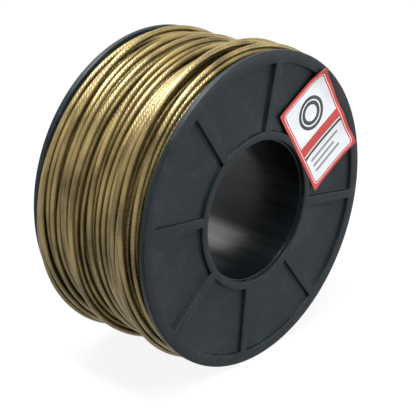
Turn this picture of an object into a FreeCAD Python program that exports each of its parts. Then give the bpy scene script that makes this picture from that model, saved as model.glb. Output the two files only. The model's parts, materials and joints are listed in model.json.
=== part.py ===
import FreeCAD, Part
import math
import os

# A spool of plastic-coated wire rope: two ribbed flanges moulded in plastic, a barrel tube seated
# between them, the wound rope as one turned solid, and a paper label on the front flange.
# Frame: millimetres, +Z up. The spool lies on its rims with its axis along Y and its labelled
# flange towards -Y; the origin is on the floor, under the spool's middle.
# The pieces are made about the Z axis with the front flange on top, and main lays them down.
# Directions about the axis are seen from the front, counted from +X towards +Z.

# Driving dimensions, mm and degrees
FLANGE_DIAMETER = 240.0
SPOOL_WIDTH = 115.0          # over both flanges
FLANGE_THICKNESS = 7.0       # at the barrel
RIM_THICKNESS = 5.0          # the inner face leans out towards the rim
RIM_WIDTH = 8.5              # flat ring at the edge of a flange
RIM_ROUNDING = 1.0
HUB_DISH = 2.5               # the hub ring stands this far below the rim's plane
HUB_RING_WIDTH = 5.0
POCKET_DEPTH_AT_RIM = 3.2
POCKET_DEPTH_AT_HUB = 2.5
RIB_COUNT = 8
RIB_WIDTH = 5.5
RIB_ANGLE = 36.0             # direction of the first rib
FLANGE_BORE = 109.0
BARREL_BORE = 106.6
BARREL_DIAMETER = 112.6
BARREL_SEAT = 1.0            # depth of the barrel's seat in each flange
LUG_COUNT = 4                # snap lugs that hold the barrel, on every second rib's direction
LUG_WIDTH = 7.0
LUG_DEPTH = 2.6
LUG_CLEARANCE = 0.5          # the lugs' flat inner faces stand this far back from the barrel's bore
COIL_EDGE_DIAMETER = 238.0   # wound rope beside a flange
COIL_CROWN = 1.0             # the wound rope's rise at mid-width, on the radius
ROPE_DIAMETER = 4.0
ROPE_LENGTH = 200000.0       # what the full spool holds
LABEL_LENGTH = 82.0          # across the rib that carries it
LABEL_HEIGHT = 56.0          # along the rib
LABEL_THICKNESS = 0.35
LABEL_RADIUS = 83.5          # from the axis to the label's middle
LABEL_ANGLE = 34.5
LABEL_TURN = -4.0            # the label is stuck on a little askew

AXIS = FreeCAD.Vector(0, 0, 1)
CENTRE = FreeCAD.Vector(0, 0, 0)
RIM_RADIUS = FLANGE_DIAMETER / 2
POCKET_OUTER = RIM_RADIUS - RIM_WIDTH
HUB_OUTER = FLANGE_BORE / 2 + HUB_RING_WIDTH


def turned(profile):
    """A solid turned about the axis from (radius, height) corners."""
    corners = [FreeCAD.Vector(radius, 0, height) for radius, height in profile]
    outline = Part.makePolygon(corners + corners[:1])
    return Part.Face(outline).revolve(CENTRE, AXIS, 360)


def block(along, across, low, high, angle, askew=0):
    """A block out from the axis in direction angle: along = (nearest, furthest), across = its width."""
    shape = Part.makeBox(along[1] - along[0], across, high - low,
                         FreeCAD.Vector(along[0], -across / 2, low))
    shape.rotate(FreeCAD.Vector(sum(along) / 2, 0, 0), AXIS, askew)
    shape.rotate(CENTRE, AXIS, angle)
    return shape


def face_profile(offset):
    """Corners of the flange's outer face from the bore to the rim, raised by offset from height 0."""
    return [(FLANGE_BORE / 2, offset - HUB_DISH), (HUB_OUTER, offset - HUB_DISH),
            (POCKET_OUTER, offset), (RIM_RADIUS, offset)]


def rib_direction(number):
    return RIB_ANGLE + number * 360 / RIB_COUNT


def pocket_ring():
    """The space between the hub ring and the rim, all round, before the ribs are taken out of it."""
    clear = 1.0
    return turned([(HUB_OUTER, -HUB_DISH - POCKET_DEPTH_AT_HUB), (POCKET_OUTER, -POCKET_DEPTH_AT_RIM),
                   (POCKET_OUTER, clear), (HUB_OUTER, clear)])


def flange():
    """One moulded flange, its outer face up at height 0 and its inner face below."""
    disc = turned(face_profile(0) + [(RIM_RADIUS, -RIM_THICKNESS), (BARREL_DIAMETER / 2, -FLANGE_THICKNESS),
                                     (FLANGE_BORE / 2, -FLANGE_THICKNESS)])
    rim_edges = [edge for edge in disc.Edges
                 if isinstance(edge.Curve, Part.Circle) and abs(edge.Curve.Radius - RIM_RADIUS) < 0.01]
    disc = disc.makeFillet(RIM_ROUNDING, rim_edges)

    pockets = pocket_ring()
    for number in range(RIB_COUNT):
        pockets = pockets.cut(block((FLANGE_BORE / 2, RIM_RADIUS), RIB_WIDTH,
                                    -FLANGE_THICKNESS, FLANGE_THICKNESS, rib_direction(number)))
    disc = disc.cut(pockets)

    seat = Part.makeCylinder(BARREL_DIAMETER / 2, BARREL_SEAT, FreeCAD.Vector(0, 0, -FLANGE_THICKNESS))
    disc = disc.cut(seat)

    seat_bottom = BARREL_SEAT - FLANGE_THICKNESS
    lug_reach = (BARREL_BORE / 2 + LUG_CLEARANCE, (FLANGE_BORE + HUB_RING_WIDTH) / 2)
    for number in range(LUG_COUNT):
        lug = block(lug_reach, LUG_WIDTH, seat_bottom, seat_bottom + LUG_DEPTH, rib_direction(2 * number + 1))
        disc = disc.fuse(lug)
    return disc.removeSplitter()


def front_flange():
    """The labelled flange, on top until the spool is laid down."""
    shape = flange()
    shape.translate(FreeCAD.Vector(0, 0, SPOOL_WIDTH))
    return shape


def back_flange():
    """The same moulding turned over, with its face down."""
    shape = flange()
    shape.rotate(CENTRE, FreeCAD.Vector(1, 0, 0), 180)
    return shape


def barrel():
    """The tube between the flanges, seated in both."""
    end = FLANGE_THICKNESS - BARREL_SEAT
    length = SPOOL_WIDTH - 2 * end
    outside = Part.makeCylinder(BARREL_DIAMETER / 2, length, FreeCAD.Vector(0, 0, end))
    return outside.cut(Part.makeCylinder(BARREL_BORE / 2, length, FreeCAD.Vector(0, 0, end)))


def inner_face(radius):
    """How far a flange's leaning inner face is from the spool's end at a radius."""
    lean = (FLANGE_THICKNESS - RIM_THICKNESS) / (RIM_RADIUS - BARREL_DIAMETER / 2)
    return RIM_THICKNESS + lean * (RIM_RADIUS - radius)


def crown(height):
    """Radius of the wound rope's valleys at a height: a shallow parabola between the flanges."""
    edge = COIL_EDGE_DIAMETER / 2 - ROPE_DIAMETER / 4
    offset = (height - SPOOL_WIDTH / 2) / (SPOOL_WIDTH / 2 - inner_face(edge))
    return edge + COIL_CROWN * (1 - offset ** 2)


def rope_coil():
    """The wound rope as one turned solid with its bore, its outer turns as rounded rings."""
    low = inner_face(COIL_EDGE_DIAMETER / 2 - ROPE_DIAMETER / 4)
    high = SPOOL_WIDTH - low
    turns = int((high - low) / ROPE_DIAMETER)
    pitch = (high - low) / turns
    bore_low = FreeCAD.Vector(BARREL_DIAMETER / 2, 0, FLANGE_THICKNESS)
    bore_high = FreeCAD.Vector(BARREL_DIAMETER / 2, 0, SPOOL_WIDTH - FLANGE_THICKNESS)
    edges = [Part.LineSegment(bore_high, bore_low).toShape(),
             Part.LineSegment(bore_low, FreeCAD.Vector(crown(low), 0, low)).toShape()]
    for turn in range(turns):
        start = low + turn * pitch
        end = start + pitch
        middle = start + pitch / 2
        edges.append(Part.Arc(FreeCAD.Vector(crown(start), 0, start),
                              FreeCAD.Vector(crown(middle) + ROPE_DIAMETER / 4, 0, middle),
                              FreeCAD.Vector(crown(end), 0, end)).toShape())
    edges.append(Part.LineSegment(FreeCAD.Vector(crown(high), 0, high), bore_high).toShape())
    return Part.Face(Part.Wire(edges)).revolve(CENTRE, AXIS, 360)


def label():
    """The label: a thin sheet that lies on the hub ring, one rib and the rim, and bridges between."""
    sheet = turned(face_profile(0) + face_profile(LABEL_THICKNESS)[::-1])
    half = LABEL_HEIGHT / 2
    outline = block((LABEL_RADIUS - half, LABEL_RADIUS + half), LABEL_LENGTH,
                    -FLANGE_THICKNESS, FLANGE_THICKNESS, LABEL_ANGLE, LABEL_TURN)
    shape = sheet.common(outline)
    shape.translate(FreeCAD.Vector(0, 0, SPOOL_WIDTH))
    return shape


def laid_down(shape):
    """The piece as the spool lies: front flange towards -Y, rims on the floor, origin below the middle."""
    shape.translate(FreeCAD.Vector(0, 0, -SPOOL_WIDTH / 2))
    shape.rotate(CENTRE, FreeCAD.Vector(1, 0, 0), 90)
    shape.translate(FreeCAD.Vector(0, 0, RIM_RADIUS))
    return shape


def main():
    os.makedirs("parts", exist_ok=True)
    pieces = {"front_flange": front_flange(), "back_flange": back_flange(), "barrel": barrel(),
              "rope_coil": rope_coil(), "label": label()}
    for name, shape in pieces.items():
        if len(shape.Solids) != 1 or not shape.isValid():
            raise RuntimeError(name + " is not one valid solid")
        solid = laid_down(shape.Solids[0])
        solid.exportStep("parts/" + name + ".step")
        box = solid.optimalBoundingBox(False)
        print(f"{name}: {solid.Volume / 1000:.1f} cm3, x {box.XMin:.2f} to {box.XMax:.2f}, "
              f"y {box.YMin:.2f} to {box.YMax:.2f}, z {box.ZMin:.2f} to {box.ZMax:.2f} mm")
    rope_volume = math.pi / 4 * ROPE_DIAMETER ** 2 * ROPE_LENGTH
    print(f"the rope fills {rope_volume / pieces['rope_coil'].Volume:.2f} of its coil")


main()
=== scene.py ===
"""A spool of clear plastic-coated wire rope, laid out as a Blender add-on and run as a script.

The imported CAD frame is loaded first. One operator models the two flanges, one the barrel, one winds
the rope, one sticks on the label and one sets the stage. Lengths are metres unless a name says _mm.
Each piece is modelled about the Z axis, with its middle at the origin and the front flange on top,
and is then laid down: the spool's axis along Y, the front flange towards -Y, the rims on the floor.
Directions about the axis are seen from the front, counted from +X towards +Z once laid down.
"""

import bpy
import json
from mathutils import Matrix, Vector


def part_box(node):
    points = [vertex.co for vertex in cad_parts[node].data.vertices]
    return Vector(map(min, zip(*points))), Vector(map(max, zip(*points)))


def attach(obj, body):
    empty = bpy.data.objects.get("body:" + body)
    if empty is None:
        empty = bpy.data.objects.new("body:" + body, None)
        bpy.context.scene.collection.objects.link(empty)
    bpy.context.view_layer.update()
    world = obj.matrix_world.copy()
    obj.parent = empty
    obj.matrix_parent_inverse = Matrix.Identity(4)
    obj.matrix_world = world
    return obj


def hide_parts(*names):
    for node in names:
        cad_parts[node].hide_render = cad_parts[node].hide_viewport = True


bl_info = {
    "name": "Wire rope spool",
    "version": (1, 0, 0),
    "blender": (4, 5, 0),
    "location": "3D View > Sidebar > Rope spool",
    "description": "Models a moulded spool wound full with plastic-coated wire rope",
    "category": "Add Mesh",
}

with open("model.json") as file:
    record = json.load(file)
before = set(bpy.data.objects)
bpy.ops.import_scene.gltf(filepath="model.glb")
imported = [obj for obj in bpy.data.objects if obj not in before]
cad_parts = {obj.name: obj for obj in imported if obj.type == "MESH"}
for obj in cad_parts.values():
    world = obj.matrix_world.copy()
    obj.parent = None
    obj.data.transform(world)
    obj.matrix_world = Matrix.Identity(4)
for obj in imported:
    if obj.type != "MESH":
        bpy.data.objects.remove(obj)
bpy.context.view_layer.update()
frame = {"record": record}

import json
import math

import bpy
import numpy as np
from mathutils import Matrix, Vector

FRONT_LOW, FRONT_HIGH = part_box("front_flange")
BACK_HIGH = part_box("back_flange")[1]
BARREL_LOW, BARREL_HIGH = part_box("barrel")
COIL_LOW, COIL_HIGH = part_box("rope_coil")
BORE_MOUNT = next(mount for mount in frame["record"]["mounts"] if mount["kind"] == "bore")

MM = 0.001
RIM_RADIUS = (FRONT_HIGH.x - FRONT_LOW.x) / 2
AXIS_HEIGHT = (FRONT_HIGH.z + FRONT_LOW.z) / 2
HALF_WIDTH = (BACK_HIGH.y - FRONT_LOW.y) / 2
FLANGE_THICKNESS = FRONT_HIGH.y - FRONT_LOW.y
BARREL_RADIUS = (BARREL_HIGH.x - BARREL_LOW.x) / 2
BARREL_HALF_LENGTH = (BARREL_HIGH.y - BARREL_LOW.y) / 2
BARREL_BORE_RADIUS = BORE_MOUNT["dims"]["r_mm"] * MM
COIL_HALF_WIDTH = (COIL_HIGH.y - COIL_LOW.y) / 2
RING_SEGMENTS = 192
FULL_TURN = 2 * math.pi
QUARTER_TURN = math.radians(90)
QUARTER_ARC = [math.radians(angle) for angle in (0, 30, 60, 90)]
MERGE_DISTANCE = 0.002 * MM      # corners of a turned ring that are closer are one
SAME_PLACE = 0.1 * MM            # how exactly a corner is found by its place
FACING_UP = 0.9                  # a face with a normal steeper than this is a level one
CREASE_ANGLE = 32                # degrees; a moulding's sharper edges stay sharp
LUG_COUNT = 4
LAID_DOWN = Matrix.Translation((0, 0, AXIS_HEIGHT)) @ Matrix.Rotation(QUARTER_TURN, 4, "X")


# ---------------------------------------------------------------- sizes and colours

class FlangeSettings(bpy.types.PropertyGroup):
    rim_width: bpy.props.FloatProperty(
        name="Rim width", description="Flat ring at the edge of the flange",
        default=8.5 * MM, min=2 * MM, unit="LENGTH", subtype="DISTANCE")
    rim_thickness: bpy.props.FloatProperty(
        name="Rim thickness", description="Thickness at the edge; the inner face leans out to it",
        default=5.0 * MM, min=2 * MM, unit="LENGTH", subtype="DISTANCE")
    edge_rounding: bpy.props.FloatProperty(
        name="Edge rounding", description="Radius of the rim's outer edges",
        default=1.0 * MM, min=0.1 * MM, unit="LENGTH", subtype="DISTANCE")
    lip_rounding: bpy.props.FloatProperty(
        name="Lip rounding", description="Radius where a panel's wall meets the face",
        default=0.8 * MM, min=0.05 * MM, unit="LENGTH", subtype="DISTANCE")
    floor_rounding: bpy.props.FloatProperty(
        name="Floor rounding", description="Radius where a panel's wall meets its floor",
        default=0.6 * MM, min=0.05 * MM, unit="LENGTH", subtype="DISTANCE")
    wall_draft: bpy.props.FloatProperty(
        name="Wall draft", description="How far a panel's wall leans out over its depth",
        default=0.15 * MM, min=0.0, unit="LENGTH", subtype="DISTANCE")
    panel_depth: bpy.props.FloatProperty(
        name="Panel depth", description="Depth of the recessed panels below the ribs",
        default=2.85 * MM, min=1 * MM, unit="LENGTH", subtype="DISTANCE")
    hub_dish: bpy.props.FloatProperty(
        name="Hub dish", description="How far the hub ring stands below the rim's plane",
        default=2.5 * MM, min=0.0, unit="LENGTH", subtype="DISTANCE")
    hub_ring_width: bpy.props.FloatProperty(
        name="Hub ring width", description="Width of the raised ring around the bore",
        default=5.0 * MM, min=1 * MM, unit="LENGTH", subtype="DISTANCE")
    bore_radius: bpy.props.FloatProperty(
        name="Bore radius", description="Radius of the hole in the flange",
        default=54.5 * MM, min=10 * MM, unit="LENGTH", subtype="DISTANCE")
    barrel_seat: bpy.props.FloatProperty(
        name="Barrel seat", description="Depth of the barrel's seat in the flange",
        default=1.0 * MM, min=0.1 * MM, unit="LENGTH", subtype="DISTANCE")
    rib_count: bpy.props.IntProperty(
        name="Ribs", description="Number of ribs on a flange", default=8, min=4, max=16)
    rib_width: bpy.props.FloatProperty(
        name="Rib width", description="Width of a rib's crest",
        default=5.5 * MM, min=1 * MM, unit="LENGTH", subtype="DISTANCE")
    rib_angle: bpy.props.FloatProperty(
        name="Rib angle", description="Direction of the first rib",
        default=math.radians(36), subtype="ANGLE", unit="ROTATION")
    lug_width: bpy.props.FloatProperty(
        name="Lug width", description="Width of a snap lug in the bore",
        default=7.0 * MM, min=1 * MM, unit="LENGTH", subtype="DISTANCE")
    lug_depth: bpy.props.FloatProperty(
        name="Lug depth", description="Depth of a snap lug along the axis",
        default=2.6 * MM, min=0.5 * MM, unit="LENGTH", subtype="DISTANCE")
    lug_clearance: bpy.props.FloatProperty(
        name="Lug clearance", description="How far the lugs stand back from the barrel's bore",
        default=0.5 * MM, min=0.0, unit="LENGTH", subtype="DISTANCE")
    plastic_colour: bpy.props.StringProperty(
        name="Plastic colour", description="Moulded plastic, as an sRGB hex value", default="141C20")
    scuff_colour: bpy.props.StringProperty(
        name="Scuff colour", description="Rubbed and dusty plastic, as an sRGB hex value", default="59636A")
    # Partly painted shade: the tube's black is set darker than the flanges' to stand in for the shade
    # inside the bore.
    tube_colour_with_bore_shade: bpy.props.StringProperty(
        name="Tube colour", description="Extruded barrel tube, as an sRGB hex value", default="0D1113")


class RopeSettings(bpy.types.PropertyGroup):
    diameter: bpy.props.FloatProperty(
        name="Rope diameter", description="Over the plastic coat",
        default=4.0 * MM, min=1 * MM, unit="LENGTH", subtype="DISTANCE")
    lay_length: bpy.props.FloatProperty(
        name="Lay length", description="Length in which a strand goes once round the rope",
        default=19.0 * MM, min=2 * MM, unit="LENGTH", subtype="DISTANCE")
    pitch: bpy.props.FloatProperty(
        name="Winding pitch", description="Mean spacing of the turns of one layer",
        default=6.1 * MM, min=4 * MM, unit="LENGTH", subtype="DISTANCE")
    layers: bpy.props.IntProperty(
        name="Layers", description="Layers wound as separate turns, the outermost last",
        default=5, min=1, max=8)
    wander: bpy.props.FloatProperty(
        name="Wander", description="How far a turn strays sideways from an even winding",
        default=2.6 * MM, min=0.0, unit="LENGTH", subtype="DISTANCE")
    crown: bpy.props.FloatProperty(
        name="Crown", description="Rise of the winding at mid-width",
        default=0.3 * MM, min=0.0, unit="LENGTH", subtype="DISTANCE")
    lean: bpy.props.FloatProperty(
        name="Lean", description="How far the winding sits off the axis",
        default=1.2 * MM, min=0.0, unit="LENGTH", subtype="DISTANCE")
    lean_angle: bpy.props.FloatProperty(
        name="Lean angle", description="Direction in which the winding is thickest",
        default=math.radians(135), subtype="ANGLE", unit="ROTATION")
    seed: bpy.props.IntProperty(
        name="Seed", description="Chooses one loose winding among many", default=3, min=0)
    coat_colour: bpy.props.StringProperty(
        name="Coat colour", description="Tinted coat over bright strands, as an sRGB hex value",
        default="9B8959")
    groove_colour: bpy.props.StringProperty(
        name="Groove colour", description="Coat where it is thick between strands, as an sRGB hex value",
        default="54472A")
    glint_colour: bpy.props.StringProperty(
        name="Glint colour", description="Steel's shine through the tinted coat, as an sRGB hex value",
        default="FFF8E0")
    # Painted shade: the core's colour is the rope darkened for the shade deep in the winding, where the
    # turns hide it.
    core_shade_colour: bpy.props.StringProperty(
        name="Core colour", description="Rope deep in the winding, as an sRGB hex value", default="3A3019")


class LabelSettings(bpy.types.PropertyGroup):
    length: bpy.props.FloatProperty(
        name="Label length", description="Across the rib that carries it",
        default=83.7 * MM, min=20 * MM, unit="LENGTH", subtype="DISTANCE")
    height: bpy.props.FloatProperty(
        name="Label height", description="Along the rib that carries it",
        default=54.6 * MM, min=20 * MM, unit="LENGTH", subtype="DISTANCE")
    paper: bpy.props.FloatProperty(
        name="Paper thickness", description="Thickness of the label and its backing",
        default=0.22 * MM, min=0.05 * MM, unit="LENGTH", subtype="DISTANCE")
    radius: bpy.props.FloatProperty(
        name="Label radius", description="From the axis to the label's middle",
        default=82.3 * MM, min=20 * MM, unit="LENGTH", subtype="DISTANCE")
    angle: bpy.props.FloatProperty(
        name="Label angle", description="Direction of the label's middle from the axis",
        default=math.radians(34.9), subtype="ANGLE", unit="ROTATION")
    turn: bpy.props.FloatProperty(
        name="Label turn", description="How far the label is stuck on askew",
        default=math.radians(-2.3), subtype="ANGLE", unit="ROTATION")
    border_colour: bpy.props.StringProperty(
        name="Border colour", description="Printed border, as an sRGB hex value", default="C4382F")
    field_colour: bpy.props.StringProperty(
        name="Field colour", description="Paper between the prints, as an sRGB hex value", default="EEF1F6")
    band_colour: bpy.props.StringProperty(
        name="Band colour", description="Printed dark disc and stripe, as an sRGB hex value",
        default="1B1C1E")
    rule_colour: bpy.props.StringProperty(
        name="Rule colour", description="Printed grey rules, as an sRGB hex value", default="8B8A92")


class StageSettings(bpy.types.PropertyGroup):
    azimuth: bpy.props.FloatProperty(
        name="Azimuth", description="Camera's direction round the spool, 0 from the front",
        default=math.radians(-47.1), subtype="ANGLE", unit="ROTATION")
    elevation: bpy.props.FloatProperty(
        name="Elevation", description="Camera's height above the level",
        default=math.radians(22.68), subtype="ANGLE", unit="ROTATION")
    distance: bpy.props.FloatProperty(
        name="Distance", description="From the camera to the point it aims at",
        default=0.862, min=0.1, unit="LENGTH", subtype="DISTANCE")
    aim: bpy.props.FloatVectorProperty(
        name="Aim", description="Point at the middle of the picture",
        default=(-0.001, -0.005, 0.109), size=3, unit="LENGTH", subtype="TRANSLATION")
    lens: bpy.props.FloatProperty(
        name="Lens", description="Focal length on a sensor 36 mm wide", default=97.3, min=20.0)
    floor_colour: bpy.props.StringProperty(
        name="Floor colour", description="Studio floor, as an sRGB hex value", default="525252")


class SpoolSettings(bpy.types.PropertyGroup):
    flange: bpy.props.PointerProperty(type=FlangeSettings, name="Flange", description="Sizes of a flange")
    rope: bpy.props.PointerProperty(type=RopeSettings, name="Rope", description="Sizes of the winding")
    label: bpy.props.PointerProperty(type=LabelSettings, name="Label", description="Sizes of the label")
    stage: bpy.props.PointerProperty(type=StageSettings, name="Stage", description="Camera and floor")


# ---------------------------------------------------------------- modelling helpers

def clear_selection():
    if bpy.context.mode != "OBJECT":
        bpy.ops.object.mode_set(mode="OBJECT")
    bpy.ops.object.select_all(action="DESELECT")


def activate(piece):
    clear_selection()
    piece.select_set(True)
    bpy.context.view_layer.objects.active = piece


def pick(piece, element, chosen):
    """Goes into edit mode with only the vertices or faces selected for which chosen(element) is true."""
    activate(piece)
    mesh = piece.data
    for items in (mesh.vertices, mesh.edges, mesh.polygons):
        items.foreach_set("select", [False] * len(items))
    items = mesh.vertices if element == "VERT" else mesh.polygons
    for item in items:
        item.select = chosen(item)
    bpy.ops.object.mode_set(mode="EDIT")
    bpy.ops.mesh.select_mode(type=element)


def settle(piece, matrix):
    """Applies a place to the piece's mesh, so that its object stays at the origin, unturned."""
    activate(piece)
    piece.matrix_world = matrix
    bpy.ops.object.transform_apply(location=True, rotation=True, scale=True)


def apply_modifier(piece, kind, **settings):
    activate(piece)
    modifier = piece.modifiers.new(kind.title(), kind)
    for name, value in settings.items():
        setattr(modifier, name, value)
    bpy.ops.object.modifier_apply(modifier=modifier.name)


def copied(piece, name):
    """A second piece with its own mesh."""
    twin = piece.copy()
    twin.data = piece.data.copy()
    twin.name = name
    bpy.context.scene.collection.objects.link(twin)
    return twin


def arc(centre, radius, start, end, steps=3):
    """Corners of a rounded edge in a profile, from one direction to another in degrees, both ends in."""
    angles = [math.radians(start + (end - start) * step / steps) for step in range(steps + 1)]
    return [(centre[0] + radius * math.cos(angle), centre[1] + radius * math.sin(angle))
            for angle in angles]


def turned(name, profile, segments=RING_SEGMENTS):
    """A closed ring about Z: one circle drawn out through (radius, height) corners back to its start."""
    radius, height = profile[0]
    clear_selection()
    bpy.ops.mesh.primitive_circle_add(vertices=segments, radius=radius, location=(0, 0, height))
    piece = bpy.context.object
    piece.name = name
    bpy.ops.object.transform_apply(location=True, rotation=True, scale=True)
    bpy.ops.object.mode_set(mode="EDIT")
    bpy.ops.mesh.select_all(action="SELECT")
    for next_radius, next_height in profile[1:] + profile[:1]:
        bpy.ops.mesh.extrude_edges_move(TRANSFORM_OT_translate={"value": (0, 0, next_height - height)})
        ratio = next_radius / radius
        bpy.ops.transform.resize(value=(ratio, ratio, 1), center_override=(0, 0, 0))
        radius, height = next_radius, next_height
    bpy.ops.mesh.select_all(action="SELECT")
    bpy.ops.mesh.remove_doubles(threshold=MERGE_DISTANCE)
    bpy.ops.mesh.normals_make_consistent(inside=False)
    bpy.ops.object.mode_set(mode="OBJECT")
    return piece


def finish_piece(piece, material, smooth_angle=None):
    """Shades the piece, gives it its material and says where it belongs."""
    if smooth_angle is not None:
        activate(piece)
        bpy.ops.object.shade_smooth_by_angle(angle=math.radians(smooth_angle))
    piece.data.materials.clear()
    piece.data.materials.append(material)
    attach(piece, "root")
    clear_selection()


# ---------------------------------------------------------------- materials

def colour(value):
    """A linear RGBA colour from an sRGB hex value."""
    parts = [int(value[start:start + 2], 16) / 255 for start in (0, 2, 4)]
    linear = [part / 12.92 if part <= 0.04045 else ((part + 0.055) / 1.055) ** 2.4 for part in parts]
    return (*linear, 1.0)


def add_node(tree, kind, links=None, **settings):
    """Adds a node. Settings are its properties; values and links fill its sockets, by name or number."""
    node = tree.nodes.new(kind)
    values = settings.pop("values", {})
    for name, value in settings.items():
        setattr(node, name, value)
    for socket, value in values.items():
        node.inputs[socket].default_value = value
    for socket, source in (links or {}).items():
        tree.links.new(source, node.inputs[socket])
    return node


def new_material(name):
    """A material with an empty tree, and its Principled shader and output joined."""
    material = bpy.data.materials.new(name)
    material.use_nodes = True
    tree = material.node_tree
    tree.nodes.clear()
    shader = add_node(tree, "ShaderNodeBsdfPrincipled")
    add_node(tree, "ShaderNodeOutputMaterial", {"Surface": shader.outputs["BSDF"]})
    return material, tree, shader


def moulded_polypropylene(settings):
    """Black polypropylene, injection moulded in a fine-spark tool: a soft sheen, slightly uneven,
    with faint handling marks."""
    material, tree, shader = new_material("moulded black polypropylene")
    place = add_node(tree, "ShaderNodeTexCoord").outputs["Object"]
    # Broad clouding, about 40 mm across, from the way the melt cooled
    cloud = add_node(tree, "ShaderNodeTexNoise", {"Vector": place},
                     values={"Scale": 1 / (40 * MM), "Detail": 3.0})
    tone = add_node(tree, "ShaderNodeValToRGB", {"Fac": cloud.outputs["Fac"]})
    base = colour(settings.plastic_colour)
    for stop, position, brightness in zip(tone.color_ramp.elements, (0.3, 0.7), (0.8, 1.25)):
        stop.position = position
        stop.color = [part * brightness for part in base[:3]] + [1.0]
    # Rubbed, dusty patches about 18 mm across, broken up by streaks 2 mm wide
    patch = add_node(tree, "ShaderNodeTexNoise", {"Vector": place},
                     values={"Scale": 1 / (18 * MM), "Detail": 5.0, "Roughness": 0.7})
    streak = add_node(tree, "ShaderNodeTexNoise", {"Vector": place},
                      values={"Scale": 1 / (2 * MM), "Detail": 3.0, "Distortion": 1.5})
    rubbed = add_node(tree, "ShaderNodeMath", {0: patch.outputs["Fac"], 1: streak.outputs["Fac"]},
                      operation="MULTIPLY")
    dust = add_node(tree, "ShaderNodeMapRange", {"Value": rubbed.outputs[0]},
                    values={"From Min": 0.27, "From Max": 0.45, "To Min": 0.0, "To Max": 0.22})
    worn = add_node(tree, "ShaderNodeMix", {"Factor": dust.outputs["Result"]}, data_type="RGBA")
    tree.links.new(tone.outputs["Color"], worn.inputs["A"])
    worn.inputs["B"].default_value = colour(settings.scuff_colour)
    tree.links.new(worn.outputs["Result"], shader.inputs["Base Color"])
    # Sheen varies with the tool's wear, about 12 mm across
    wear = add_node(tree, "ShaderNodeTexNoise", {"Vector": place},
                    values={"Scale": 1 / (12 * MM), "Detail": 4.0})
    gloss = add_node(tree, "ShaderNodeMapRange", {"Value": wear.outputs["Fac"]},
                     values={"From Min": 0.3, "From Max": 0.7, "To Min": 0.36, "To Max": 0.48})
    tree.links.new(gloss.outputs["Result"], shader.inputs["Roughness"])
    # Spark texture, drawn 0.8 mm coarse so that it shows
    grain = add_node(tree, "ShaderNodeTexNoise", {"Vector": place},
                     values={"Scale": 1 / (0.8 * MM), "Detail": 2.0})
    bump = add_node(tree, "ShaderNodeBump", {"Height": grain.outputs["Fac"]},
                    values={"Strength": 0.12, "Distance": 0.05 * MM})
    tree.links.new(bump.outputs["Normal"], shader.inputs["Normal"])
    shader.inputs["IOR"].default_value = 1.49
    shader.inputs["Specular IOR Level"].default_value = 0.17
    return material


def extruded_tube(settings):
    """Black polypropylene tube, extruded through a polished die: smoother than the flanges, with fine
    draw lines along it, so that its bore shows a clear reflection of the light at the far end."""
    material, tree, shader = new_material("extruded black polypropylene")
    place = add_node(tree, "ShaderNodeTexCoord").outputs["Object"]
    # Draw lines about 3 mm apart round the tube and some 90 mm long
    drawn = add_node(tree, "ShaderNodeMapping", {"Vector": place}, values={"Scale": (1.0, 0.035, 1.0)})
    lines = add_node(tree, "ShaderNodeTexNoise", {"Vector": drawn.outputs["Vector"]},
                     values={"Scale": 1 / (6 * MM), "Detail": 3.0})
    gloss = add_node(tree, "ShaderNodeMapRange", {"Value": lines.outputs["Fac"]},
                     values={"From Min": 0.3, "From Max": 0.7, "To Min": 0.22, "To Max": 0.36})
    tree.links.new(gloss.outputs["Result"], shader.inputs["Roughness"])
    bump = add_node(tree, "ShaderNodeBump", {"Height": lines.outputs["Fac"]},
                    values={"Strength": 0.25, "Distance": 0.1 * MM})
    tree.links.new(bump.outputs["Normal"], shader.inputs["Normal"])
    # The tube's own black, painted darker than the flanges' as painted shade for the inside of the bore
    shader.inputs["Base Color"].default_value = colour(settings.tube_colour_with_bore_shade)
    shader.inputs["IOR"].default_value = 1.49
    shader.inputs["Specular IOR Level"].default_value = 0.3
    return material


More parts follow.
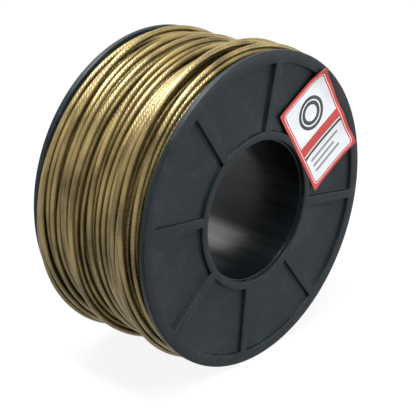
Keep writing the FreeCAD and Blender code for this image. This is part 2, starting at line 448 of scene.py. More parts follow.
def coated_wire_rope(settings, length_mm):
    """Bright steel strands laid up under an extruded clear PVC coat with a gold tint: the strands stand
    out as a row of slanted beads that each catch a glint, and the tint is uneven along the rope."""
    material, tree, shader = new_material("gold-tinted PVC over steel rope")
    along, around = rope_coordinates(tree, length_mm)
    strand_count = 6
    wire_spacing = 1.7
    wire_relief = 0.35
    cloud_length = 40
    cloud_contrast, cloud_shift = 2.2, -0.72
    relief_tone = 0.28
    # Strands run round the rope once in a lay length
    strand = helix_wave(tree, along, around, strand_count, strand_count / (settings.lay_length / MM))
    # Wires lie the other way across each strand, a wire spacing apart along the rope
    wire = helix_wave(tree, along, around, -strand_count, 1 / wire_spacing)
    height = add_node(tree, "ShaderNodeMath", {0: wire, 2: strand}, operation="MULTIPLY_ADD",
                      values={1: wire_relief})
    # The tint comes and goes along the rope in stretches of about a cloud length
    cloud = add_node(tree, "ShaderNodeTexNoise", {"W": along}, noise_dimensions="1D",
                     values={"Scale": 1 / cloud_length, "Detail": 3.0})
    level = add_node(tree, "ShaderNodeMath", {0: cloud.outputs["Fac"]}, operation="MULTIPLY_ADD",
                     values={1: cloud_contrast, 2: cloud_shift})
    level = add_node(tree, "ShaderNodeMath", {0: height.outputs[0], 2: level.outputs[0]},
                     operation="MULTIPLY_ADD", values={1: relief_tone})
    tone = add_node(tree, "ShaderNodeValToRGB", {"Fac": level.outputs[0]})
    tone.color_ramp.elements[0].color = colour(settings.groove_colour)
    tone.color_ramp.elements[1].color = colour(settings.coat_colour)
    tree.links.new(tone.outputs["Color"], shader.inputs["Base Color"])
    bump = add_node(tree, "ShaderNodeBump", {"Height": height.outputs[0]},
                    values={"Strength": 1.0, "Distance": 0.12 * MM})
    tree.links.new(bump.outputs["Normal"], shader.inputs["Normal"])
    shader.inputs["Metallic"].default_value = 0.5
    shader.inputs["Roughness"].default_value = 0.31
    shader.inputs["Specular IOR Level"].default_value = 0.5
    shader.inputs["Specular Tint"].default_value = colour(settings.glint_colour)
    shader.inputs["Coat Weight"].default_value = 0.2
    shader.inputs["Coat Roughness"].default_value = 0.15
    shader.inputs["Coat IOR"].default_value = 1.53
    tree.links.new(bump.outputs["Normal"], shader.inputs["Coat Normal"])
    return material


def rope_coordinates(tree, length_mm):
    """Place along the rope in millimetres and place around it from 0 to 1, from the rope's own UV map."""
    uv = add_node(tree, "ShaderNodeUVMap", uv_map="UVMap")
    parts = add_node(tree, "ShaderNodeSeparateXYZ", {"Vector": uv.outputs["UV"]})
    along = add_node(tree, "ShaderNodeMath", {0: parts.outputs["X"]}, operation="MULTIPLY",
                     values={1: length_mm})
    return along.outputs[0], parts.outputs["Y"]


def helix_wave(tree, along, around, starts, per_mm):
    """A wave from 0 to 1 whose crests run round the rope as so many helices."""
    turns = add_node(tree, "ShaderNodeMath", {0: around}, operation="MULTIPLY", values={1: float(starts)})
    phase = add_node(tree, "ShaderNodeMath", {0: along, 2: turns.outputs[0]}, operation="MULTIPLY_ADD",
                     values={1: per_mm})
    angle = add_node(tree, "ShaderNodeMath", {0: phase.outputs[0]}, operation="MULTIPLY",
                     values={1: FULL_TURN})
    wave = add_node(tree, "ShaderNodeMath", {0: angle.outputs[0]}, operation="COSINE")
    level = add_node(tree, "ShaderNodeMath", {0: wave.outputs[0]}, operation="MULTIPLY_ADD",
                     values={1: 0.5, 2: 0.5})
    return level.outputs[0]


def shaded_core_rope(settings):
    """The same rope deep in the winding, where little light comes: painted shade, a dark straw that stands
    in for the shade among the hidden turns, not the rope's own colour.
    """
    material, _, shader = new_material("shaded PVC-coated rope")
    shader.inputs["Base Color"].default_value = colour(settings.core_shade_colour)
    shader.inputs["Roughness"].default_value = 0.5
    return material


# ---------------------------------------------------------------- the flanges

def flange_profile(settings):
    """Corners of a flange's section, its outer face up at height 0, from the barrel's seat round."""
    rounding = settings.edge_rounding
    lip = settings.lip_rounding
    bore = settings.bore_radius
    under = -FLANGE_THICKNESS
    seat = under + settings.barrel_seat
    profile = [(bore, seat)]
    profile += arc((bore + lip, -settings.hub_dish - lip), lip, 180, 90)
    profile += [(bore + settings.hub_ring_width, -settings.hub_dish)]
    profile += [(RIM_RADIUS - settings.rim_width, 0)]
    profile += arc((RIM_RADIUS - rounding, -rounding), rounding, 90, 0, steps=4)
    profile += arc((RIM_RADIUS - rounding, rounding - settings.rim_thickness), rounding, 0, -90, steps=4)
    profile += [(BARREL_RADIUS, under), (BARREL_RADIUS, seat)]
    return profile


def straighten_ribs(flange, settings):
    """Moves the corners beside each rib's middle line, so that the ribs are parallel-sided, not wedges."""
    step = FULL_TURN / RING_SEGMENTS
    spacing = FULL_TURN / settings.rib_count
    hub = settings.bore_radius + settings.hub_ring_width
    rim = RIM_RADIUS - settings.rim_width
    for radius, height in ((hub, -settings.hub_dish), (rim, 0.0)):
        reach = math.asin(settings.rib_width / 2 / radius) - step
        for side in (1, -1):
            def beside_rib(vertex):
                turn = math.atan2(vertex.co.y, vertex.co.x) - QUARTER_TURN - side * step
                off = abs((turn + spacing / 2) % spacing - spacing / 2)
                return (off < step / 4 and abs(vertex.co.xy.length - radius) < SAME_PLACE
                        and abs(vertex.co.z - height) < SAME_PLACE)

            pick(flange, "VERT", beside_rib)
            # Without a window this operator turns the other way
            bpy.ops.transform.rotate(value=-side * reach, orient_axis="Z", center_override=(0, 0, 0))
            bpy.ops.object.mode_set(mode="OBJECT")


def recess_panels(flange, settings):
    """Sinks the eight panels between the ribs: a rounded lip, a leaning wall and a rounded floor edge."""
    step = FULL_TURN / RING_SEGMENTS
    spacing = FULL_TURN / settings.rib_count
    hub = settings.bore_radius + settings.hub_ring_width
    rim = RIM_RADIUS - settings.rim_width

    def in_panel(face):
        turn = math.atan2(face.center.y, face.center.x) - QUARTER_TURN
        off = abs((turn + spacing / 2) % spacing - spacing / 2)
        reach = face.center.xy.length
        return face.normal.z > FACING_UP and hub < reach < rim and off > step

    pick(flange, "FACE", in_panel)
    lip = settings.lip_rounding
    fillet = settings.floor_rounding
    slope = [(lip * math.sin(turn), lip * (1 - math.cos(turn))) for turn in QUARTER_ARC]
    foot_in, foot_down = lip + settings.wall_draft, settings.panel_depth - fillet
    slope += [(foot_in + fillet * (1 - math.cos(turn)), foot_down + fillet * math.sin(turn))
              for turn in QUARTER_ARC]
    for (inward, down), (next_inward, next_down) in zip(slope, slope[1:]):
        bpy.ops.mesh.inset(thickness=next_inward - inward, depth=down - next_down,
                           use_even_offset=True, use_boundary=True)
    bpy.ops.object.mode_set(mode="OBJECT")


def snap_lug(settings):
    """One small block that reaches into the bore over the barrel's end, beside the +Y rib."""
    reach = BARREL_BORE_RADIUS + settings.lug_clearance
    root = settings.bore_radius + settings.hub_ring_width / 2
    low = settings.barrel_seat - FLANGE_THICKNESS
    clear_selection()
    bpy.ops.mesh.primitive_cube_add(size=1, location=(0, (reach + root) / 2, low + settings.lug_depth / 2))
    lug = bpy.context.object
    lug.dimensions = (settings.lug_width, root - reach, settings.lug_depth)
    bpy.ops.object.transform_apply(location=True, rotation=True, scale=True)
    apply_modifier(lug, "BEVEL", width=0.3 * MM, segments=2, limit_method="NONE")
    return lug


class SPOOL_OT_flanges(bpy.types.Operator):
    """Model one ribbed flange, and turn a copy of it over for the back"""
    bl_idname = "rope_spool.flanges"
    bl_label = "Flanges"

    def execute(self, context):
        settings = context.scene.rope_spool.flange
        front = turned("ribbed_front_flange", flange_profile(settings))
        straighten_ribs(front, settings)
        recess_panels(front, settings)
        for number in range(LUG_COUNT):
            lug = snap_lug(settings)
            settle(lug, Matrix.Rotation(number * FULL_TURN / LUG_COUNT, 4, "Z"))
            apply_modifier(front, "BOOLEAN", operation="UNION", solver="EXACT", object=lug)
            bpy.data.objects.remove(lug)
        # The rib modelled along +Y carries a lug and becomes the second: every other rib has one from there
        spacing = FULL_TURN / settings.rib_count
        settle(front, Matrix.Rotation(settings.rib_angle + spacing - QUARTER_TURN, 4, "Z"))
        back = copied(front, "ribbed_back_flange")
        plastic = moulded_polypropylene(settings)
        outward = Matrix.Translation((0, 0, HALF_WIDTH))
        turned_over = Matrix.Rotation(FULL_TURN / 2, 4, "X")
        settle(front, LAID_DOWN @ outward)
        settle(back, LAID_DOWN @ turned_over @ outward)
        for piece, node in ((front, "front_flange"), (back, "back_flange")):
            finish_piece(piece, plastic, smooth_angle=CREASE_ANGLE)
            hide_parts(node)
        return {"FINISHED"}


class SPOOL_OT_barrel(bpy.types.Operator):
    """Model the barrel tube that joins the flanges"""
    bl_idname = "rope_spool.barrel"
    bl_label = "Barrel"

    def execute(self, context):
        ease = 0.4 * MM
        top = BARREL_HALF_LENGTH
        profile = arc((BARREL_BORE_RADIUS + ease, top - ease), ease, 180, 90)
        profile += arc((BARREL_RADIUS - ease, top - ease), ease, 90, 0)
        profile += arc((BARREL_RADIUS - ease, ease - top), ease, 0, -90)
        profile += arc((BARREL_BORE_RADIUS + ease, ease - top), ease, -90, -180)
        barrel = turned("barrel_tube", profile)
        settle(barrel, LAID_DOWN)
        plastic = extruded_tube(context.scene.rope_spool.flange)
        finish_piece(barrel, plastic, smooth_angle=CREASE_ANGLE)
        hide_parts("barrel")
        return {"FINISHED"}


# ---------------------------------------------------------------- the wound rope

STEPS_PER_TURN = 240
BLUR_REACH = 3               # a blur takes in so many of its widths to each side
START_RADIUS = 100.0         # mm; the whole winding is moved out to the rims afterwards
SIDE_GAP = 0.1               # mm between the outermost places of the rope and a flange
PACE_SPREAD = 0.3            # how unevenly the rope is guided across the spool
PACE_TURNS = 1.4             # turns in which that pace changes
WANDER_TURNS = 0.45          # turns in which the rope strays to one side
WOBBLE_TURNS = 0.13          # turns in which it wobbles
WOBBLE_DIVISOR = 3.5         # a wobble is so many times smaller than the wander
LAYERS_IN_REACH = 2.7        # earlier layers that a new turn may touch
SETTLING_ROUNDS = 14         # in which a stretch slides sideways into the valleys
GUIDE_PULL = 0.1             # share of its distance from the guide that a step makes up in a round
SLIDE = 0.14                 # mm that it slides in a round, down a slope of 1
STEEPEST = 1.5               # a steeper slope makes it slide no further
SLOPE_REACH = 0.2            # mm to each side where the slope is measured
BEND_STEPS = 5.0             # the rope's stiffness sideways, as a blur over so many steps
LEAD_IN = 30                 # steps before a stretch that its blur takes in
JOIN_STEPS = 12.0            # steps over which a stretch joins what is wound already
LIFT_STEPS = 4.0             # its stiffness away from the axis, as a blur
LIFT_ROUNDS = 40             # in which it is eased over what lies below

FULLEST = 97                 # percentile of the last layer that stands at the rise below
LAST_LAYER = 1.2             # layers, counted back from the end, that show
RISE = 1.6                   # mm from the rim to the top of the fullest turns
BACK_PILE = 11.0             # mm that the turns are piled up beside the back flange
FRONT_FILL = 1.5             # mm more beside the front flange, most in the direction below
FRONT_FILL_ANGLE = math.radians(125)
LOW_FILL = 1.5               # mm more over the whole width, most in the direction below
LOW_FILL_ANGLE = math.radians(225)
SLACK = 5.0                  # mm less beside the front flange, where the turns hang slack
SLACK_ANGLE = math.radians(190)
SLACK_START, SLACK_WIDTH = 0.78, 0.22       # as parts of half the spool's width
FLOOR_GAP = 0.3              # mm between the lowest turns and the floor
FLOOR_SPREAD = 0.5           # sine below the level at which the floor starts to count
TAIL_STEPS = 40              # steps at the rope's last end that dive down
TAIL_DIVE = 5.0              # mm
SEAM_DISTANCE = 0.01 * MM    # corners of the rope's mesh that are closer are one

CORE_TURNS = 8               # first turns of the winding, which lie on the core
CORE_SINK = 0.3              # part of the rope's diameter by which they sink into it


def smooth_noise(random, count, knot_steps, amount):
    """A wandering value at each of count steps: a smooth cubic spline over random knots."""
    knots = random.normal(0, amount, count // knot_steps + 4)
    place = np.arange(count) / knot_steps
    knot = place.astype(int)
    part = place - knot
    weights = ((1 - part) ** 3 / 6, (3 * part ** 3 - 6 * part ** 2 + 4) / 6,
               (-3 * part ** 3 + 3 * part ** 2 + 3 * part + 1) / 6, part ** 3 / 6)
    return sum(weight * knots[knot + number] for number, weight in enumerate(weights))


def blurred(values, steps):
    """The values averaged over their neighbours, with the ends held."""
    half = int(BLUR_REACH * steps)
    weights = np.exp(-0.5 * (np.arange(-half, half + 1) / steps) ** 2)
    return np.convolve(np.pad(values, half, mode="edge"), weights / weights.sum(), mode="valid")


def wind_rope(settings):
    """Lays the rope on turn by turn, in millimetres: each step settles sideways into the valley below it
    and rests on the highest earlier turn that it touches. Returns its place along the axis and its
    distance from the axis at each step."""
    random = np.random.default_rng(settings.seed)
    thickness = settings.diameter / MM
    limit = COIL_HALF_WIDTH / MM - thickness / 2 - SIDE_GAP
    pitch = settings.pitch / MM
    total = round(settings.layers * 2 * limit / pitch) * STEPS_PER_TURN
    wander = settings.wander / MM

    pace = np.exp(smooth_noise(random, total, int(PACE_TURNS * STEPS_PER_TURN), PACE_SPREAD))
    travelled = np.cumsum(pace) / pace.sum() * settings.layers * 2 * limit
    if settings.layers % 2 == 0:
        travelled += 2 * limit
    guide = np.abs(travelled % (4 * limit) - 2 * limit) - limit
    guide += smooth_noise(random, total, int(WANDER_TURNS * STEPS_PER_TURN), wander)
    guide += smooth_noise(random, total, int(WOBBLE_TURNS * STEPS_PER_TURN), wander / WOBBLE_DIVISOR)
    guide = np.clip(guide, -limit, limit)

    axial = guide.copy()
    radius = np.full(total, START_RADIUS)
    turns_back = int(LAYERS_IN_REACH * 2 * limit / pitch)

    def resting_radius(steps, places):
        best = START_RADIUS + settings.crown / MM * (1 - (places / limit) ** 2)
        for back in range(1, turns_back + 1):
            earlier = steps - back * STEPS_PER_TURN
            wound = earlier >= 0
            if not wound.any():
                break
            earlier = np.where(wound, earlier, 0)
            offset = places - axial[earlier]
            touch = radius[earlier] + np.sqrt(np.maximum(thickness ** 2 - offset ** 2, 0))
            best = np.maximum(best, np.where(wound & (np.abs(offset) < thickness), touch, 0))
        return best

    half_turn = STEPS_PER_TURN // 2
    for start in range(0, total, half_turn):
        steps = np.arange(start, min(start + STEPS_PER_TURN, total))
        before = np.arange(max(0, start - LEAD_IN), start)
        places = guide[steps].copy()
        if start:
            places[:half_turn] = axial[steps[:half_turn]]
        for _ in range(SETTLING_ROUNDS):
            rise = resting_radius(steps, places + SLOPE_REACH) - resting_radius(steps, places - SLOPE_REACH)
            slope = np.clip(rise / (2 * SLOPE_REACH), -STEEPEST, STEEPEST)
            places += GUIDE_PULL * (guide[steps] - places) - SLIDE * slope
            places = blurred(np.concatenate([axial[before], places]), BEND_STEPS)[len(before):]
            if len(before):
                ramp = np.clip(np.arange(len(places)) / JOIN_STEPS, 0, 1)
                joined = axial[before[-1]] + places - places[0]
                places = ramp * places + (1 - ramp) * joined
            places = np.clip(places, -limit, limit)
        lowest = resting_radius(steps, places)
        heights = lowest.copy()
        for _ in range(LIFT_ROUNDS):
            eased = blurred(np.concatenate([radius[before], heights]), LIFT_STEPS)[len(before):]
            heights = np.maximum(lowest, eased)
        axial[steps] = places
        radius[steps] = heights
    return axial, radius


def rope_line(settings):
    """The rope's line as points in metres about the Z axis, and each step's radius in millimetres."""
    axial, radius = wind_rope(settings)
    steps = np.arange(len(axial))
    angle = steps * FULL_TURN / STEPS_PER_TURN

    def facing(direction):
        """1 in one direction about the axis, falling to 0 at a quarter turn from it."""
        return np.clip(np.cos(angle - direction), 0, 1)

    # The winding is as thick as the spool has room for, and a little thicker to one side
    last_layer = radius[-int(LAST_LAYER * len(radius) / settings.layers):]
    top = RIM_RADIUS / MM + RISE - settings.diameter / MM / 2
    radius = radius + top - np.percentile(last_layer, FULLEST)
    radius += settings.lean / MM * np.cos(angle - settings.lean_angle)
    # It is piled up over the back rim, full at the front rim high on the left and slack lower down
    towards_back = np.clip(axial / (COIL_HALF_WIDTH / MM), -1, 1)
    radius += BACK_PILE * np.clip(towards_back, 0, 1) ** 3
    radius += FRONT_FILL * np.clip(-towards_back, 0, 1) ** 3 * facing(FRONT_FILL_ANGLE)
    radius += LOW_FILL * facing(LOW_FILL_ANGLE)
    slack = np.clip(2 * np.cos(angle - SLACK_ANGLE) - 1, 0, 1)
    radius -= SLACK * np.clip((-towards_back - SLACK_START) / SLACK_WIDTH, 0, 1) * slack
    # Nothing reaches the floor that the rims stand on
    clearance = (RIM_RADIUS - settings.diameter / 2) / MM - FLOOR_GAP
    radius = np.minimum(radius, clearance / np.maximum(-np.sin(angle), FLOOR_SPREAD))
    # The last end dives down beside the back flange, under its neighbours
    radius[-TAIL_STEPS:] -= TAIL_DIVE * np.linspace(0, 1, TAIL_STEPS) ** 2
    points = np.stack([radius * np.cos(angle), radius * np.sin(angle), -axial], axis=1) * MM
    return points, radius


def rope_piece(name, points, settings):
    """One stretch of the rope as a round tube along its points, made a closed mesh."""
    line = bpy.data.curves.new(name, "CURVE")
    line.dimensions = "3D"
    line.bevel_depth = settings.diameter / 2
    line.bevel_resolution = 2
    line.use_fill_caps = True
    spline = line.splines.new("POLY")
    spline.points.add(len(points) - 1)
    spline.points.foreach_set("co", np.column_stack([points, np.ones(len(points))]).ravel())
    piece = bpy.data.objects.new(name, line)
    bpy.context.scene.collection.objects.link(piece)
    activate(piece)
    bpy.ops.object.convert(target="MESH")
    piece = bpy.context.object
    bpy.ops.object.mode_set(mode="EDIT")
    bpy.ops.mesh.select_all(action="SELECT")
    bpy.ops.mesh.remove_doubles(threshold=SEAM_DISTANCE)
    bpy.ops.object.mode_set(mode="OBJECT")
    return piece


class SPOOL_OT_rope(bpy.types.Operator):
    """Wind the rope on in loose layers, over a plain core for the turns that never show"""
    bl_idname = "rope_spool.rope"
    bl_label = "Wound rope"

    def execute(self, context):
        settings = context.scene.rope_spool.rope
        points, radius = rope_line(settings)
        names = ("rope_inner_turns", "rope_middle_turns", "rope_outer_turns")
        steps_each = -(-len(points) // len(names))
        for number, name in enumerate(names):
            stretch = points[number * steps_each:(number + 1) * steps_each + 1]
            length = np.linalg.norm(np.diff(stretch, axis=0), axis=1).sum() / MM
            piece = rope_piece(name, stretch, settings)
            settle(piece, LAID_DOWN)
            finish_piece(piece, coated_wire_rope(settings, length), smooth_angle=60)
            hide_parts("rope_coil")

        first_turns = radius[:STEPS_PER_TURN * CORE_TURNS].min() * MM
        core_radius = first_turns - settings.diameter * CORE_SINK
        gap = 0.3 * MM
        bore = BARREL_RADIUS + 0.05 * MM
        foot = HALF_WIDTH - FLANGE_THICKNESS
        edge = COIL_HALF_WIDTH - gap
        core = turned("rope_core", [(bore, foot), (core_radius, edge), (core_radius, -edge), (bore, -foot)])
        settle(core, LAID_DOWN)
        # The core is painted dark: painted shade for the hidden turns beneath the visible ones.
        finish_piece(core, shaded_core_rope(settings), smooth_angle=CREASE_ANGLE)
        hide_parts("rope_coil")
        return {"FINISHED"}


# ---------------------------------------------------------------- the label

LABEL_CUTS = 63
RIB_HOLD = 2 * MM            # the paper lies flat this far to each side of a rib's middle
SAG = 0.9 * MM               # depth to which it sinks where nothing carries it
SAG_FROM_RIB = 14 * MM       # distances over which it gets there
SAG_FROM_RIM = 10 * MM
SAG_FROM_HUB = 8 * MM
RIPPLE = 2.2 * MM            # twice the height of the waves at the outer edge
RIPPLE_PHASE = 9.0           # radians that the waves run through along the label
RIPPLE_MIDDLE = 2.6          # their phase at its middle, in radians
CORNER_START, CORNER_WIDTH = 0.72, 0.28     # of the way from the middle to the loose corner
CORNER_LIFT = 4.0 * MM
PAPER_GAP = 0.1 * MM

# Print, in mm from the label's middle: X from the hub to the rim, Y along its length
MARGIN = 4.4                 # width of the border
FIELD_ROUNDING = 3.0
PALE_LINE = (1.7, 1.1)       # the fine line's two edges, outwards from the field
DISC_HEIGHT = 18.5
DISC_RADII = (13.5, 10.8, 9.6, 6.6)         # dark, pale, dark, pale
RED_STRIPE, DARK_STRIPE = (-3.5, 4.4), (-10.6, 1.3)     # middle and half width
RULE_REACHES = (17.0, 13.5, 15.5)           # half lengths
RULE_START = 18.0            # their common end, towards the hub
FIRST_RULE, RULE_SPACING, RULE_HALF_WIDTH = -17.5, 5.6, 1.1


class SPOOL_OT_label(bpy.types.Operator):
    """Stick the printed label on the front flange"""
    bl_idname = "rope_spool.label"
    bl_label = "Label"

    def execute(self, context):
        settings = context.scene.rope_spool.label
        flange = context.scene.rope_spool.flange
        clear_selection()
        bpy.ops.mesh.primitive_plane_add(size=1)
        label = context.object
        label.name = "printed_label"
        label.dimensions = (settings.height, settings.length, 0)
        bpy.ops.object.transform_apply(location=True, rotation=True, scale=True)
        bpy.ops.object.mode_set(mode="EDIT")
        bpy.ops.mesh.select_all(action="SELECT")
        bpy.ops.mesh.subdivide(number_cuts=LABEL_CUTS)
        bpy.ops.object.mode_set(mode="OBJECT")
        shape_label(label, settings, flange)
        apply_modifier(label, "SOLIDIFY", thickness=settings.paper, offset=-1)
        settle(label, LAID_DOWN)
        finish_piece(label, printed_paper(settings), smooth_angle=40)
        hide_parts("label")
        return {"FINISHED"}


def held(value):
    """The value, held between 0 and 1."""
    return min(1.0, max(0.0, value))


def shape_label(label, settings, flange):
    """Places the sheet on the flange: it lies on the rim, one rib and the hub ring, sinks a little
    between them, and its outer corner stands off."""
    middle = Matrix.Rotation(settings.angle, 4, "Z") @ Matrix.Translation((settings.radius, 0, 0))
    place = middle @ Matrix.Rotation(settings.turn, 4, "Z")
    hub = flange.bore_radius + flange.hub_ring_width
    rim = RIM_RADIUS - flange.rim_width
    spacing = FULL_TURN / flange.rib_count
    for vertex in label.data.vertices:
        across, along = vertex.co.x / settings.height, vertex.co.y / settings.length
        spot = place @ Vector((vertex.co.x, vertex.co.y, 0))
        reach = spot.xy.length
        cone = -flange.hub_dish * held((rim - reach) / (rim - hub))
        turn = math.atan2(spot.y, spot.x) - flange.rib_angle
        off_rib = abs((turn + spacing / 2) % spacing - spacing / 2) * reach
        # Over a panel the paper hangs free between the rib, the rim and the hub ring, and sinks
        free = held((off_rib - RIB_HOLD) / SAG_FROM_RIB) * held((rim - reach) / SAG_FROM_RIM)
        free *= held((reach - hub) / SAG_FROM_HUB)
        sag = SAG * free * free * (3 - 2 * free)
        # The outer edge buckles off the rim in waves, and the last corner has come unstuck
        ripple = RIPPLE * math.sin(RIPPLE_PHASE * along + RIPPLE_MIDDLE) ** 2 * max(0.0, across)
        corner = max(0.0, across + along - CORNER_START) / CORNER_WIDTH
        lift = CORNER_LIFT * corner * corner
        height = HALF_WIDTH + cone - sag + ripple + lift + settings.paper + PAPER_GAP
        vertex.co = (spot.x, spot.y, height)


def printed_paper(settings):
    """Semi-gloss label paper, offset printed: a red border with a fine pale line and, on a cool white
    field, a dark disc with pale rings like a coil's end, a red and a dark stripe, and grey rules."""
    material, tree, shader = new_material("printed semi-gloss label paper")
    uv = add_node(tree, "ShaderNodeUVMap", uv_map="UVMap").outputs["UV"]
    height, length = settings.height / MM, settings.length / MM
    # Millimetres from the label's middle: X from the hub to the rim, Y along its length
    place = add_node(tree, "ShaderNodeMapping", {"Vector": uv}, values={
        "Location": (-height / 2, -length / 2, 0), "Scale": (height, length, 1)}).outputs["Vector"]

    def box(centre, half, rounding=0.0):
        """Distance outside a rounded box: negative inside it."""
        moved = add_node(tree, "ShaderNodeVectorMath", {0: place}, operation="SUBTRACT",
                         values={1: (*centre, 0)})
        size = add_node(tree, "ShaderNodeVectorMath", {0: moved.outputs[0]}, operation="ABSOLUTE")
        over = add_node(tree, "ShaderNodeVectorMath", {0: size.outputs[0]}, operation="SUBTRACT",
                        values={1: (half[0] - rounding, half[1] - rounding, 0)})
        outer = add_node(tree, "ShaderNodeVectorMath", {0: over.outputs[0]}, operation="MAXIMUM",
                         values={1: (0, 0, 0)})
        distance = add_node(tree, "ShaderNodeVectorMath", {0: outer.outputs[0]}, operation="LENGTH")
        parts = add_node(tree, "ShaderNodeSeparateXYZ", {"Vector": over.outputs[0]})
        inner = add_node(tree, "ShaderNodeMath", {0: parts.outputs["X"], 1: parts.outputs["Y"]},
                         operation="MAXIMUM")
        inner = add_node(tree, "ShaderNodeMath", {0: inner.outputs[0]}, operation="MINIMUM",
                         values={1: 0.0})
        whole = add_node(tree, "ShaderNodeMath", {0: distance.outputs["Value"], 1: inner.outputs[0]},
                         operation="ADD")
        edge = add_node(tree, "ShaderNodeMath", {0: whole.outputs[0]}, operation="SUBTRACT",
                        values={1: rounding})
        return edge.outputs[0]

    def inside(distance, offset=0.0):
        return add_node(tree, "ShaderNodeMath", {0: distance}, operation="LESS_THAN",
                        values={1: offset}).outputs[0]

    def paint(under, mask, ink):
        mix = add_node(tree, "ShaderNodeMix", {"Factor": mask}, data_type="RGBA")
        if under is None:
            mix.inputs["A"].default_value = colour(settings.border_colour)
        else:
            tree.links.new(under, mix.inputs["A"])
        mix.inputs["B"].default_value = colour(ink)
        return mix.outputs["Result"]

    half_width = height / 2 - MARGIN
    field = box((0, 0), (half_width, length / 2 - MARGIN), FIELD_ROUNDING)
    sheet = paint(None, inside(field, PALE_LINE[0]), settings.field_colour)
    sheet = paint(sheet, inside(field, PALE_LINE[1]), settings.border_colour)
    sheet = paint(sheet, inside(field), settings.field_colour)
    inks = (settings.band_colour, settings.field_colour) * 2
    for radius, ink in zip(DISC_RADII, inks):
        sheet = paint(sheet, inside(box((0, DISC_HEIGHT), (radius, radius), radius)), ink)
    for (middle, half), ink in ((RED_STRIPE, settings.border_colour), (DARK_STRIPE, settings.band_colour)):
        sheet = paint(sheet, inside(box((0, middle), (half_width, half))), ink)
    for number, reach in enumerate(RULE_REACHES):
        rule = box((reach - RULE_START, FIRST_RULE - RULE_SPACING * number), (reach, RULE_HALF_WIDTH))
        sheet = paint(sheet, inside(rule), settings.rule_colour)
    tree.links.new(sheet, shader.inputs["Base Color"])
    shader.inputs["Roughness"].default_value = 0.42
    shader.inputs["IOR"].default_value = 1.5
    return material


# ---------------------------------------------------------------- the stage

def soft_lamp(name, place, size, watts, aim):
    """A rectangular lamp turned to its aim; size is its width and height as seen from there."""
    lamp = bpy.data.lights.new(name, "AREA")
    lamp.shape = "RECTANGLE"
    lamp.size, lamp.size_y = size
    lamp.energy = watts
    holder = bpy.data.objects.new(name, lamp)
    holder.location = place
    holder.rotation_euler = (Vector(aim) - Vector(place)).to_track_quat("-Z", "Y").to_euler()
    bpy.context.scene.collection.objects.link(holder)


class SPOOL_OT_stage(bpy.types.Operator):
    """Set the camera, the lamps, the white surroundings and the pale floor"""
    bl_idname = "rope_spool.stage"
    bl_label = "Stage"

    def execute(self, context):
        settings = context.scene.rope_spool.stage
        scene = context.scene
        scene.view_settings.view_transform = "Standard"

        aim = Vector(settings.aim)
        reach = math.cos(settings.elevation) * settings.distance
        away = Vector((reach * math.sin(settings.azimuth), -reach * math.cos(settings.azimuth),
                       math.sin(settings.elevation) * settings.distance))
        camera = bpy.data.objects.new("camera", bpy.data.cameras.new("camera"))
        camera.data.lens = settings.lens
        camera.data.clip_end = 50.0
        camera.location = aim + away
        camera.rotation_euler = (-away).to_track_quat("-Z", "Y").to_euler()
        scene.collection.objects.link(camera)
        scene.camera = camera

        middle = (0, 0, AXIS_HEIGHT)
        # A strip over the spool in line with its axis, a soft window high behind, a panel low in front
        soft_lamp("overhead_strip", place=(-0.20, -0.15, 1.25), size=(1.6, 0.2), watts=42.0,
                  aim=(0, -0.15, AXIS_HEIGHT))
        soft_lamp("back_window", place=(0.1, 1.05, 1.40), size=(1.1, 0.9), watts=14.0, aim=middle)
        soft_lamp("front_fill", place=(0.85, -1.35, 0.20), size=(1.0, 1.0), watts=19.0, aim=middle)

        clear_selection()
        bpy.ops.mesh.primitive_circle_add(vertices=96, radius=6.0, fill_type="NGON")
        floor = context.object
        floor.name = "studio_floor"
        floor.data.materials.append(pale_floor(settings))
        white_surroundings(scene)
        return {"FINISHED"}


def background_rays(tree):
    """1 for what the camera sees itself, in gloss or through a clear thing, and 0 for light on things."""
    path = add_node(tree, "ShaderNodeLightPath").outputs
    seen = path["Is Camera Ray"]
    for kind in ("Is Glossy Ray", "Is Transmission Ray"):
        seen = add_node(tree, "ShaderNodeMath", {0: seen, 1: path[kind]}, operation="MAXIMUM").outputs[0]
    return seen


def pale_floor(settings):
    """Matt white studio floor: it keeps a shadow, and the camera and gloss see its open part white."""
    material, tree, shader = new_material("matt white studio floor")
    # Far from the spool the lamps add little, so the glow rises to white there
    place = add_node(tree, "ShaderNodeTexCoord").outputs["Object"]
    away = add_node(tree, "ShaderNodeVectorMath", {0: place}, operation="LENGTH")
    level = add_node(tree, "ShaderNodeMapRange", {"Value": away.outputs["Value"]},
                     values={"From Min": 0.6, "From Max": 2.0, "To Min": 0.9, "To Max": 1.0})
    glow = add_node(tree, "ShaderNodeMath", {0: background_rays(tree), 1: level.outputs["Result"]},
                    operation="MULTIPLY")
    shader.inputs["Base Color"].default_value = colour(settings.floor_colour)
    shader.inputs["Roughness"].default_value = 0.9
    shader.inputs["Specular IOR Level"].default_value = 0.1
    shader.inputs["Emission Color"].default_value = (1, 1, 1, 1)
    tree.links.new(glow.outputs[0], shader.inputs["Emission Strength"])
    return material


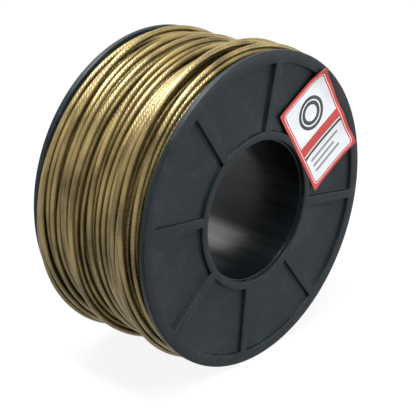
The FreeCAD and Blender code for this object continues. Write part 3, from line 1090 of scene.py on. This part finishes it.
def white_surroundings(scene):
    """A dim grey world for light; to the camera and in gloss it is a studio with white walls that
    fall to grey overhead."""
    world = bpy.data.worlds.new("white surroundings")
    scene.world = world
    world.use_nodes = True
    tree = world.node_tree
    tree.nodes.clear()
    ambient = 0.05
    strength = add_node(tree, "ShaderNodeMapRange", {"Value": background_rays(tree)},
                        values={"To Min": ambient, "To Max": 1.0})
    direction = add_node(tree, "ShaderNodeTexCoord").outputs["Generated"]
    rise = add_node(tree, "ShaderNodeSeparateXYZ", {"Vector": direction})
    wall = add_node(tree, "ShaderNodeMapRange", {"Value": rise.outputs["Z"]},
                    values={"From Min": 0.25, "From Max": 0.75, "To Min": 1.0, "To Max": 0.3})
    sky = add_node(tree, "ShaderNodeBackground", {"Color": wall.outputs["Result"],
                                                  "Strength": strength.outputs["Result"]})
    add_node(tree, "ShaderNodeOutputWorld", {"Surface": sky.outputs["Background"]})


# ---------------------------------------------------------------- the add-on

OPERATORS = (SPOOL_OT_stage, SPOOL_OT_flanges, SPOOL_OT_barrel, SPOOL_OT_rope, SPOOL_OT_label)


class SPOOL_PT_panel(bpy.types.Panel):
    """Lists the spool's pieces in the order in which they are made"""
    bl_idname = "SPOOL_PT_panel"
    bl_label = "Wire rope spool"
    bl_space_type = "VIEW_3D"
    bl_region_type = "UI"
    bl_category = "Rope spool"

    def draw(self, context):
        for operator in OPERATORS:
            self.layout.operator(operator.bl_idname)


CLASSES = (FlangeSettings, RopeSettings, LabelSettings, StageSettings, SpoolSettings, *OPERATORS,
           SPOOL_PT_panel)


def register():
    for item in CLASSES:
        bpy.utils.register_class(item)
    bpy.types.Scene.rope_spool = bpy.props.PointerProperty(
        type=SpoolSettings, name="Rope spool", description="Sizes and colours of the rope spool")


def unregister():
    del bpy.types.Scene.rope_spool
    for item in reversed(CLASSES):
        bpy.utils.unregister_class(item)


def main():
    register()
    bpy.ops.rope_spool.stage()
    bpy.ops.rope_spool.flanges()
    bpy.ops.rope_spool.barrel()
    bpy.ops.rope_spool.rope()
    bpy.ops.rope_spool.label()
    bpy.context.view_layer.update()


if __name__ == "__main__":
    main()
